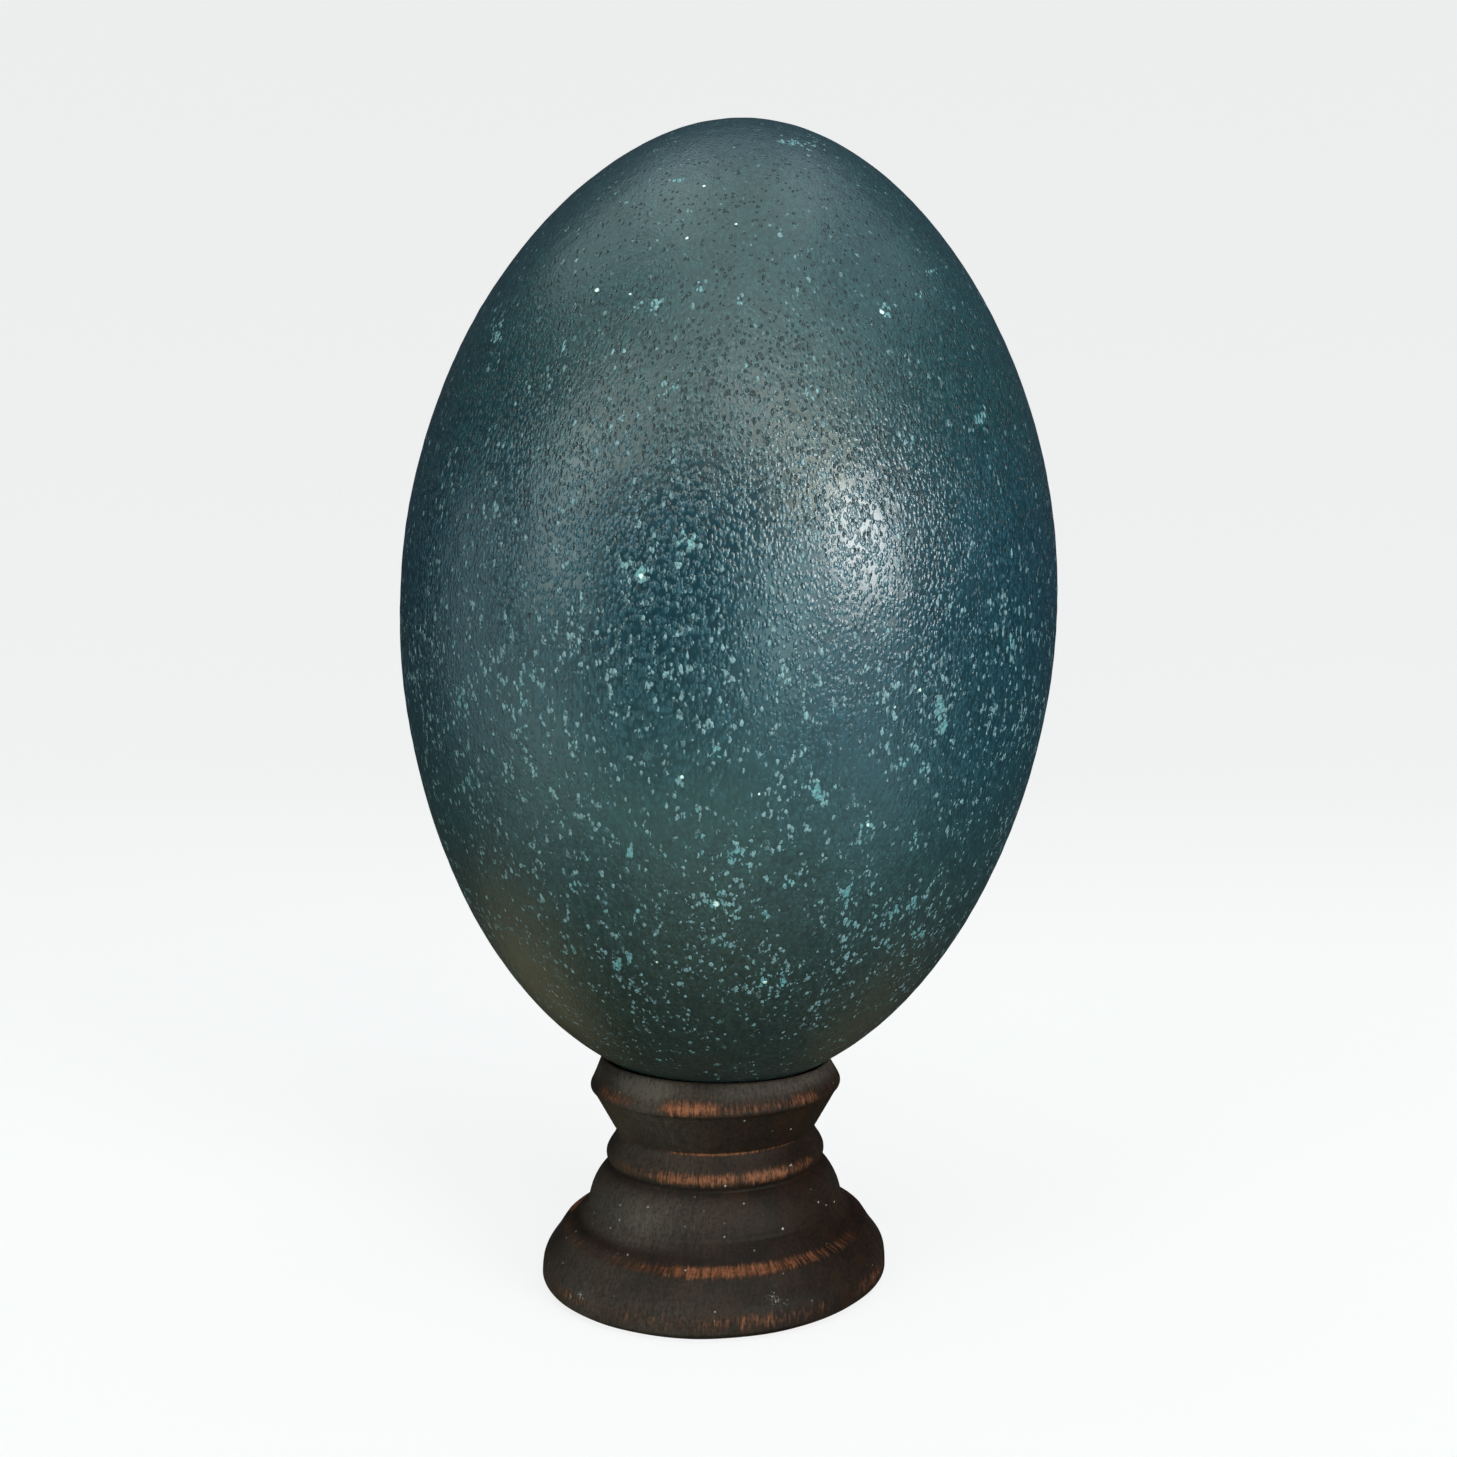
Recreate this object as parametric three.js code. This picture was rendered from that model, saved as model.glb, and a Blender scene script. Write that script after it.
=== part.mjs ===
import * as THREE from "three";

// An emu egg resting upright in a small turned wooden stand. Lengths are millimetres.
// +Z is up along the stand's axis, and the flat underside of the stand is z = 0.

// The egg stands on end and leans a little towards +X in its seat.
const EGG_LENGTH = 132.3;
const EGG_WIDTH = 89.2;
const EGG_LEAN_DEG = 2.35;
const EGG_CENTRE_X = 2.15;
const EGG_CENTRE_Z = 92.6;
const EGG_SEGMENTS = 64;
const EGG_STEPS = 30;

// The stand, from the floor up: radius and height of each feature of its profile.
const BASE_RADIUS = 22.2;
const FOOT_RADIUS = 23.95;
const FOOT_HEIGHT = 1.3;
const LEDGE_RADIUS = 21.2;
const LEDGE_HEIGHT = 7.55;
const LEDGE_WIDTH = 0.2;
const SHOULDER_RADIUS = 17.7;
const SHOULDER_HEIGHT = 10.45;
const COVE_RADIUS = 14.6;
const COVE_HEIGHT = 15.95;
const NECK_RADIUS = 13.8;
const NECK_HEIGHT = 20.4;
const FLARE_RADIUS = 17.1;
const FLARE_HEIGHT = 26.3;
const SEAT_RADIUS = 15.8;
const STAND_HEIGHT = 30.1;
const CURVE_STEPS = 5;
const STAND_SEGMENTS = 56;

// The seat is a dish cut from a sphere whose centre lies on the stand's axis.
const SEAT_SPHERE_HEIGHT = 58.3;
const SEAT_STEPS = 6;

// Turns an outline of [radius, height] points, listed upwards and closed on the axis, about Z.
function turned(points, segments) {
  const geometry = new THREE.LatheGeometry(points, segments);
  geometry.rotateX(Math.PI / 2);
  return geometry;
}

// The egg's half outline about its middle, from the lower end (angle 0) to the upper end (pi).
// It is an ellipse made slimmer towards the ends, and more so at the upper one.
function eggOutline() {
  const points = [];
  for (let i = 0; i <= EGG_STEPS; i += 1) {
    const angle = (Math.PI * i) / EGG_STEPS;
    const c = Math.cos(angle);
    const fullness = 1 - 0.003 * c - 0.066 * c ** 2 + 0.052 * c ** 3 + 0.012 * c ** 4;
    const onAxis = i === 0 || i === EGG_STEPS;
    const radius = onAxis ? 0 : (EGG_WIDTH / 2) * Math.sin(angle) * fullness;
    points.push(new THREE.Vector2(radius, (-EGG_LENGTH / 2) * c));
  }
  return points;
}

function makeEgg() {
  const shell = new THREE.MeshStandardMaterial({ color: 0x2b4448, roughness: 0.35, metalness: 0 });
  const egg = new THREE.Mesh(turned(eggOutline(), EGG_SEGMENTS), shell);
  egg.name = "egg";
  egg.position.set(EGG_CENTRE_X, 0, EGG_CENTRE_Z);
  egg.rotation.y = THREE.MathUtils.degToRad(EGG_LEAN_DEG);
  return egg;
}

// The dished seat, from just inside its edge down to the axis.
function seatOutline() {
  const sphere = Math.hypot(SEAT_RADIUS, SEAT_SPHERE_HEIGHT - STAND_HEIGHT);
  const points = [];
  for (let i = 1; i <= SEAT_STEPS; i += 1) {
    const radius = SEAT_RADIUS * (1 - i / SEAT_STEPS);
    points.push(new THREE.Vector2(radius, SEAT_SPHERE_HEIGHT - Math.sqrt(sphere ** 2 - radius ** 2)));
  }
  return points;
}

// The turner's outline of the stand: straight cuts, and a curve for each rounded stretch.
function standOutline() {
  const path = new THREE.Path();
  path.moveTo(0, 0);
  path.lineTo(BASE_RADIUS, 0);
  // round foot, narrowing to a ledge
  path.quadraticCurveTo(23.9, 0.85, FOOT_RADIUS, FOOT_HEIGHT);
  path.bezierCurveTo(FOOT_RADIUS, 4.9, 23.2, 3.9, LEDGE_RADIUS, LEDGE_HEIGHT);
  path.lineTo(LEDGE_RADIUS - LEDGE_WIDTH, LEDGE_HEIGHT + 0.1);
  // slope up to an edge, and a rounded shoulder above it
  path.bezierCurveTo(20.1, 8.05, 18.45, 9.75, SHOULDER_RADIUS, SHOULDER_HEIGHT);
  path.bezierCurveTo(17.5, 12.7, 16.15, 15.05, COVE_RADIUS, COVE_HEIGHT);
  // half-round bead
  path.bezierCurveTo(16.3, 17.9, 14.2, 18.7, NECK_RADIUS, NECK_HEIGHT);
  // neck, straight flare and rounded rim
  path.lineTo(NECK_RADIUS + 0.15, NECK_HEIGHT + 0.4);
  path.lineTo(FLARE_RADIUS, FLARE_HEIGHT);
  path.bezierCurveTo(18.2, 26.85, 16.6, 28.3, SEAT_RADIUS, STAND_HEIGHT);
  return [...path.getPoints(CURVE_STEPS), ...seatOutline()];
}

function makeStand() {
  const wood = new THREE.MeshStandardMaterial({ color: 0x33291f, roughness: 0.55, metalness: 0 });
  const stand = new THREE.Mesh(turned(standOutline(), STAND_SEGMENTS), wood);
  stand.name = "stand";
  return stand;
}

const part = new THREE.Group();
part.add(makeStand(), makeEgg());

export default part;
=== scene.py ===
import math

import bpy
import numpy as np
from mathutils import Matrix, Vector


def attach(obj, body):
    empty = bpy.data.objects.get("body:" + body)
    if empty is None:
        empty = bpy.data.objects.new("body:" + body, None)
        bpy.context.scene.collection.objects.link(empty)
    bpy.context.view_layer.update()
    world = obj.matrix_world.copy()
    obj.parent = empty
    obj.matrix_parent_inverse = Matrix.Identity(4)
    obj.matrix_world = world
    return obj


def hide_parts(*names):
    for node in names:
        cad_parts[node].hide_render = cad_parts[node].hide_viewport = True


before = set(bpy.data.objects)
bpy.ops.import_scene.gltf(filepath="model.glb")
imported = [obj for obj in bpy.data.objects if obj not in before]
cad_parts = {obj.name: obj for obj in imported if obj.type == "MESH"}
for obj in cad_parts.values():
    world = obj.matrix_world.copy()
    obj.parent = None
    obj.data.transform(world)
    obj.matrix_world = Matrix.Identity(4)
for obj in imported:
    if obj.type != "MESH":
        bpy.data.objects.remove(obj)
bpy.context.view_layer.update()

# An emu egg resting in a turned wooden stand, on a plain pale floor.
# Sizes are in millimetres in the dictionaries and become metres when a mesh is made.

mm = 0.001

# Camera: just below the egg's middle, close in front, looking a little to the right of the stand.
view = {
    "back": 200.4,      # from the stand's axis
    "height": 82.2,
    "turn": 4.54,       # degrees
    "tilt": 1.72,
    "roll": 0.37,
    "lens": 35.4,
    "sensor": 36.0,
    "shiftX": -0.0706,
    "clip": (0.01, 30.0),   # metres
    "frame": 1457,      # pixels
}


def cameraPlace():
    aim = (
        Matrix.Rotation(-math.radians(view["turn"]), 4, "Z")
        @ Matrix.Rotation(math.radians(90 - view["tilt"]), 4, "X")
        @ Matrix.Rotation(math.radians(view["roll"]), 4, "Z")
    )
    return Matrix.Translation((0, -view["back"] * mm, view["height"] * mm)) @ aim


# Where points fall in the camera's frame, in pixels across and down: over the depth, times the lens.
def inFrame(points):
    place = np.array(cameraPlace())
    seen = (points - place[:3, 3]) @ place[:3, :3]
    zoom = view["frame"] * view["lens"] / view["sensor"]
    across = view["frame"] * (0.5 - view["shiftX"]) - zoom * seen[:, 0] / seen[:, 2]
    down = view["frame"] * 0.5 + zoom * seen[:, 1] / seen[:, 2]
    return np.stack([across, down], 1)


def makeCamera():
    data = bpy.data.cameras.new("camera")
    data.lens, data.sensor_width = view["lens"], view["sensor"]
    data.shift_x = view["shiftX"]
    data.clip_start, data.clip_end = view["clip"]
    camera = bpy.data.objects.new("camera", data)
    bpy.context.scene.collection.objects.link(camera)
    camera.matrix_world = cameraPlace()
    bpy.context.scene.camera = camera


makeCamera()
print("camera placed")


# An sRGB hex colour as linear red, green, blue and alpha.
def hexColour(text):
    parts = [int(text[i:i + 2], 16) / 255 for i in (1, 3, 5)]
    linear = [c / 12.92 if c <= 0.04045 else ((c + 0.055) / 1.055) ** 2.4 for c in parts]
    return (*linear, 1.0)


# Adds a node with its settings, then its inputs: each is a value to set or another node's output to link.
# Stops are the points of a ramp with straight lines between them: place, and a grey value or a colour.
def addNode(tree, kind, inputs=None, stops=(), **settings):
    node = tree.nodes.new("ShaderNode" + kind)
    for name, value in settings.items():
        setattr(node, name, value)
    for name, value in (inputs or {}).items():
        if isinstance(value, bpy.types.NodeSocket):
            tree.links.new(value, node.inputs[name])
        else:
            node.inputs[name].default_value = value
    if stops:
        elements = node.color_ramp.elements
        while len(elements) < len(stops):
            elements.new(0.5)
        for element, (at, value) in zip(elements, stops):
            element.position = at
            element.color = value if isinstance(value, tuple) else (value, value, value, 1)
    return node


def newMaterial(name):
    material = bpy.data.materials.new(name)
    material.use_nodes = True
    material.node_tree.nodes.clear()
    return material, material.node_tree


# Puts arrays of points, quads and named point values into a new mesh object with smooth faces. A quad
# that names a corner twice running becomes a triangle.
def putMesh(name, points, quads, values=None, uv=None):
    mesh = bpy.data.meshes.new(name)
    mesh.vertices.add(len(points))
    mesh.vertices.foreach_set("co", np.asarray(points, np.float32).ravel())
    keep = quads != np.roll(quads, -1, axis=1)
    corners = quads[keep].astype(np.int32)
    count = keep.sum(axis=1)
    mesh.loops.add(len(corners))
    mesh.loops.foreach_set("vertex_index", corners)
    mesh.polygons.add(len(quads))
    mesh.polygons.foreach_set("loop_start", (np.cumsum(count) - count).astype(np.int32))
    mesh.polygons.foreach_set("use_smooth", np.ones(len(quads), bool))
    if uv is not None:
        layer = mesh.uv_layers.new(name="OFBake")
        layer.data.foreach_set("uv", uv.astype(np.float32).ravel())
    mesh.update(calc_edges=True)
    mesh.validate()
    for key, value in (values or {}).items():
        attribute = mesh.attributes.new(key, "FLOAT", "POINT")
        attribute.data.foreach_set("value", value.astype(np.float32))
    item = bpy.data.objects.new(name, mesh)
    bpy.context.scene.collection.objects.link(item)
    return item


# A smooth random field: many cosine waves in random directions, added up and scaled to a spread of one.
def waveField(points, wavelength, seed, count=48):
    random = np.random.default_rng(seed)
    direction = random.normal(size=(count, 3))
    direction /= np.linalg.norm(direction, axis=1, keepdims=True)
    length = wavelength * random.uniform(0.75, 1.35, count)
    phase = random.uniform(0, 2 * np.pi, count)
    waves = points @ (direction * (2 * np.pi / length)[:, None]).T + phase
    return np.cos(waves).sum(axis=-1) / math.sqrt(count / 2)


# From 0 at low to 1 at high: 3 t^2 - 2 t^3, where t is the share of the way.
def smoothStep(low, high, x):
    t = np.clip((x - low) / (high - low), 0, 1)
    return t * t * (3 - 2 * t)


# The egg. Its shape repeats the solid model's; the rest is the surface of the shell.
egg = {
    "length": 132.3,
    "width": 89.2,
    "lean": 2.35,                           # degrees towards +X
    "centre": (2.15, 0.0, 92.6),
    "fullness": (1, -0.003, -0.066, 0.052, 0.012),
    "gridPerFace": 128,
    "tileMargin": 0.01,                     # room round each face's tile in the map, as a share of it
    "swell": (17.0, 0.022),                 # wavelength and height of the broad unevenness
    "pebble": (2.6, 0.012, 96),             # and of the larger grains, with how many waves make them
    "seed": 7,
    # chips where the outer layer has broken away, as they lie in the camera's frame: pixels across and
    # down, half width, half height, how complete
    "chips": {
        "topLeft": (648, 306, 11, 7, 0.7), "topMiddle": (702, 287, 6, 6, 0.5),
        "topRight": (742, 301, 4, 4, 0.6), "brow": (677, 180, 5, 3, 0.7),
        "crown": (791, 142, 9, 3, 0.7), "crownRight": (812, 144, 6, 3, 0.6),
        "cheekRight": (886, 310, 6, 5, 0.8), "edgeRight": (931, 272, 4, 3, 0.7),
        "edgeRightLow": (918, 293, 4, 4, 0.6), "cheekLeft": (582, 308, 8, 5, 0.5),
        "streakLeft": (564, 348, 4, 7, 0.6), "edgeStreak": (497, 328, 5, 13, 0.6),
        "underTopLeft": (671, 386, 6, 6, 0.7), "underTopRight": (813, 391, 5, 5, 0.7),
        "faintLeft": (617, 427, 6, 5, 0.5), "rightPatch": (907, 437, 6, 6, 0.7),
        "rightStreak": (980, 417, 5, 9, 0.8), "rightFaint": (910, 375, 6, 4, 0.4),
        "glintEdge": (766, 448, 4, 3, 0.6), "edgeBlue": (998, 603, 8, 7, 0.5),
        "edgeTick": (1012, 645, 3, 14, 0.8), "middleTop": (680, 535, 5, 10, 0.9),
        "middleTwin": (692, 540, 4, 8, 0.8), "middleFoot": (678, 557, 4, 6, 0.8),
        "besideMiddle": (640, 573, 5, 8, 0.9), "besideFaint": (627, 565, 4, 5, 0.6),
        "underGlint": (806, 680, 9, 9, 0.6), "underGlintLow": (802, 708, 8, 6, 0.6),
        "rightTall": (923, 678, 5, 9, 0.7), "rightDrift": (940, 706, 6, 10, 0.7),
        "rightDriftLow": (944, 726, 7, 7, 0.8), "rightThin": (917, 747, 3, 8, 0.8),
        "rightDots": (903, 765, 7, 5, 0.7), "rightDotsEnd": (923, 767, 5, 4, 0.7),
        "centre": (718, 755, 5, 9, 0.8), "centreLow": (692, 812, 5, 6, 0.7),
        "centreLeft": (679, 788, 4, 7, 0.7), "ragged": (819, 792, 7, 10, 0.9),
        "raggedLeft": (803, 786, 5, 4, 0.7), "raggedRight": (834, 787, 5, 4, 0.7),
        "lowRight": (867, 827, 6, 10, 0.9), "lowRightTail": (861, 843, 5, 6, 0.6),
        "lowRightFar": (915, 838, 5, 10, 0.7), "ring": (735, 855, 12, 9, 0.7),
        "ringLeft": (701, 845, 5, 10, 0.8), "leftTall": (629, 852, 4, 9, 0.8),
        "leftDot": (663, 858, 4, 6, 0.7), "button": (716, 904, 6, 6, 1.0),
        "buttonTop": (717, 893, 5, 3, 0.8), "underButton": (720, 944, 7, 4, 0.9),
        "lens": (764, 912, 5, 8, 0.7), "lensUp": (789, 884, 6, 4, 0.7),
        "lensLeft": (740, 912, 4, 4, 0.6), "pearLeft": (573, 885, 5, 8, 0.7),
        "pearLow": (571, 950, 6, 4, 0.8), "cluster": (619, 966, 7, 7, 0.8),
        "clusterTop": (628, 958, 4, 4, 0.8), "footLeft": (764, 981, 6, 5, 1.0),
        "footRight": (783, 981, 5, 7, 0.9), "trailOne": (848, 894, 7, 8, 0.8),
        "trailTwo": (875, 888, 6, 4, 0.7), "trailThree": (896, 911, 6, 7, 0.8),
        "trailFour": (912, 904, 5, 9, 0.8), "trailFive": (878, 911, 5, 5, 0.7),
        "trailLow": (850, 926, 3, 9, 0.7), "trailEnd": (917, 932, 9, 5, 0.7),
        "trailUnder": (888, 946, 6, 5, 0.7), "paleLeft": (560, 817, 7, 6, 0.6),
        "paleSlash": (587, 857, 8, 4, 0.6), "paleTall": (638, 915, 5, 8, 0.6),
        "paleDot": (604, 903, 6, 5, 0.5), "shoreHigh": (460, 700, 7, 8, 0.7),
        "shoreLow": (468, 782, 6, 10, 0.7), "needle": (523, 690, 3, 15, 0.7),
        "needleTop": (534, 672, 3, 8, 0.6),
    },
    # and pinhead chips down to the white inner layer: pixels across and down, half width in mm
    "pinheads": {
        "upperTick": (597, 290, 0.34), "upperDot": (687, 238, 0.25), "crownDot": (736, 224, 0.2),
        "leftDot": (630, 294, 0.17), "rightBead": (882, 312, 0.36), "browDot": (704, 186, 0.22),
        "middleBead": (641, 576, 0.34), "rightDot": (920, 690, 0.24), "farDot": (895, 707, 0.17),
        "centreDot": (682, 777, 0.24), "buttonTop": (716, 904, 0.42), "lowDot": (657, 962, 0.2),
        "lowRightDot": (868, 825, 0.25), "footDot": (765, 982, 0.3), "smallDot": (759, 794, 0.17),
    },
}


# A cube of six square grids pushed out to a sphere: each grid point (a, b) from -1 to 1 becomes the
# direction (1, tan(a pi/4), tan(b pi/4)), turned to face each of the six ways.
def sphereGrid(count):
    a = np.tan(np.linspace(-1, 1, count + 1) * math.pi / 4)
    u, v = np.meshgrid(a, a, indexing="ij")
    one = np.ones_like(u)
    sides = [
        (one, u, v), (-one, -u, v), (-u, one, v), (u, -one, v), (-v, u, one), (v, u, -one),
    ]
    points, quads, uv = [], [], []
    row = np.arange((count + 1) ** 2).reshape(count + 1, count + 1)
    cell = np.stack([row[:-1, :-1], row[1:, :-1], row[1:, 1:], row[:-1, 1:]], -1).reshape(-1, 4)
    margin = egg["tileMargin"]
    s, t = np.meshgrid(*[np.linspace(margin, 1 - margin, count + 1)] * 2, indexing="ij")
    for k, side in enumerate(sides):
        p = np.stack(side, -1).reshape(-1, 3)
        points.append(p / np.linalg.norm(p, axis=1, keepdims=True))
        quads.append(cell + k * row.size)
        tile = np.stack([(s + k % 3) / 3, (t + k // 3) / 2], -1).reshape(-1, 2)
        uv.append(tile[cell.ravel()])
    points, quads, uv = np.concatenate(points), np.concatenate(quads), np.concatenate(uv)
    # grid points that meet along the edges of the cube become one point
    _, first, same = np.unique(np.round(points, 6), axis=0, return_index=True, return_inverse=True)
    return points[first], same.reshape(-1)[quads], uv


# The egg's surface for a direction d: c = -d.z runs from 1 at the lower end to -1 at the upper, the
# radius is half the width times the fullness polynomial in c, and the height is half the length times d.z.
def eggSurface(direction):
    c = -direction[:, 2:]
    full = sum(k * c ** n for n, k in enumerate(egg["fullness"]))
    across = direction[:, :2] * full * egg["width"] / 2
    return np.concatenate([across, direction[:, 2:] * egg["length"] / 2], axis=1)


# How far the chips bare each point: bell curves across the camera's frame, on the side that faces it.
def bareChips(points, outward):
    across, down = inFrame(points).T
    toCamera = np.array(cameraPlace().translation) - points
    facing = (toCamera * outward).sum(axis=1) > 0
    bare = np.zeros(len(points))
    for x, y, wide, high, strength in egg["chips"].values():
        gap = ((across - x) / (wide + 1)) ** 2 + ((down - y) / (high + 1)) ** 2
        bare = np.maximum(bare, strength * np.exp(-gap))
    return bare * facing


# The point of a mesh object that the camera sees at a pixel, in metres.
def underPixel(item, x, y):
    zoom = view["frame"] * view["lens"] / view["sensor"]
    across, down = x - view["frame"] * (0.5 - view["shiftX"]), y - view["frame"] * 0.5
    ray = Vector((across / zoom, -down / zoom, -1))
    place = cameraPlace()
    return item.ray_cast(place.translation, place.to_3x3() @ ray)[1]


# The egg's mesh is its surface, moved in along its normals by the relief, then leant and put in place.
def makeEgg():
    direction, quads, uv = sphereGrid(egg["gridPerFace"])
    plain = eggSurface(direction)
    outward = plain / np.array([egg["width"], egg["width"], egg["length"]]) ** 2
    outward /= np.linalg.norm(outward, axis=1, keepdims=True)
    wavelength, height = egg["swell"]
    swell = waveField(plain, wavelength, egg["seed"]) * height
    wavelength, height, waves = egg["pebble"]
    pebble = waveField(plain, wavelength, egg["seed"] + 1, waves) * height
    relief = swell + pebble
    shaped = plain + outward * (relief - relief.max())[:, None]     # never outside the solid egg
    lean = math.radians(egg["lean"])
    turn = np.array([[math.cos(lean), 0, math.sin(lean)], [0, 1, 0], [-math.sin(lean), 0, math.cos(lean)]])
    placed = (shaped @ turn.T + np.array(egg["centre"])) * mm
    item = putMesh("eggShell", placed, quads, {"bare": bareChips(placed, outward @ turn.T)}, uv)
    bpy.context.view_layer.update()
    item.data.materials.append(shellMaterial(item))
    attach(item, "root")
    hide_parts("egg")
    return item


# Emu eggshell, laid in layers: a dark green outer layer of fused grains over a pale turquoise one.
# The grains give an even orange-peel gloss. Where their tops are rubbed through, flecks of the pale
# layer show.
shell = {
    # from the lower end to the upper: share of the height, colour; the lower end is painted darker and
    # browner, as shade and warm light from below
    "ground": [
        (0.0, "#222825"), (0.14, "#212c2a"), (0.27, "#1c3337"), (0.38, "#17343d"),
        (0.56, "#193540"), (0.68, "#193438"), (0.85, "#193134"),
    ],
    # painted shade: a dark colour laid in the gaps between grains
    "gap": "#0c2026",
    "paintedGapShade": (0.35, 0.7, 0.7),    # where painted shade in a gap starts and ends from a grain's middle, and how strong
    "fleck": "#5e757b",
    "turquoise": "#437579",
    # painted shade: the near-black colour inside the pinholes
    "pit": "#071619",
    "tick": "#b9c9c4",
    "tickMiddle": 0.6,      # share of a pinhead that is wholly white
    "roughness": [(0.0, 0.4), (0.3, 0.38), (0.42, 0.3), (0.5, 0.22), (0.58, 0.22), (0.7, 0.28), (0.9, 0.3)],
    "dullRoughness": 0.45,
    "indexOfRefraction": 1.5,
    "grain": 2.4,           # grains per mm round the egg
    "stretch": 0.58,        # and fewer along it, because they are drawn out that way
    "grainHeight": 0.05,    # mm
    "grainSlope": (0.12, 0.66),     # where a grain's slope starts and ends from its middle
    # share of the egg's height, and how high the grains stand there
    "highest": [
        (0.0, 0.35), (0.3, 0.5), (0.42, 0.9), (0.5, 1.0), (0.58, 1.0), (0.68, 0.75), (0.8, 0.4),
    ],
    # share of the grains that is rubbed through to a fleck: few at the top, most below the middle
    "rubbed": [
        (0.0, 0.03), (0.12, 0.08), (0.2, 0.12), (0.28, 0.09), (0.34, 0.09), (0.42, 0.15), (0.5, 0.09),
        (0.58, 0.05), (0.72, 0.025), (0.9, 0.025),
    ],
    "rubbedSoft": (-0.02, 0.1),     # past that share, where a fleck starts to show and where it is whole
    "chipRubs": 0.75,       # what a chip adds to that share
    "chipSpreads": 0.25,    # and to how far its flecks reach
    "fleckHeight": 0.07,    # mm
    "scales": 1.15,         # larger scales per mm
    "scaleShare": 0.4,
    "scaleSoft": (0.0, 0.05),
    # marks in their cells: the least and the most that they reach, and where their edge starts and ends
    "fleckMark": (0.35, 0.85, -0.05, 0.15),
    "scaleMark": (0.2, 0.45, -0.02, 0.08),
    "pitMark": (0.26, 0.5, 0.0, 0.22),
    "pits": 2.1,            # pinholes per mm
    # share of the egg's height, and share of the cells there that have a pinhole
    "pitted": [(0.0, 0.0), (0.42, 0.0), (0.52, 0.1), (0.6, 0.7), (0.7, 0.8), (0.8, 0.3), (0.95, 0.12)],
    "pitDepth": 0.13,       # mm
    # random fields: waves per mm, the range of values that counts, and the least and the most that they
    # multiply by over it
    "drift": (0.12, 0.35, 0.68, 0.35, 1.8),
    "clump": (0.95, 0.46, 0.6, 0.1, 3.0),
    "tone": (0.3, 0.4, 1.6, 0.65, 1.35),
    "shade": (2.6, 0.3, 0.7, 0.6, 1.4),
    # and one that makes edges uneven: waves per mm, then how far it pushes grains, scales and pinheads
    "uneven": (2.4, 0.4, 1.2, 0.25),
}


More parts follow.
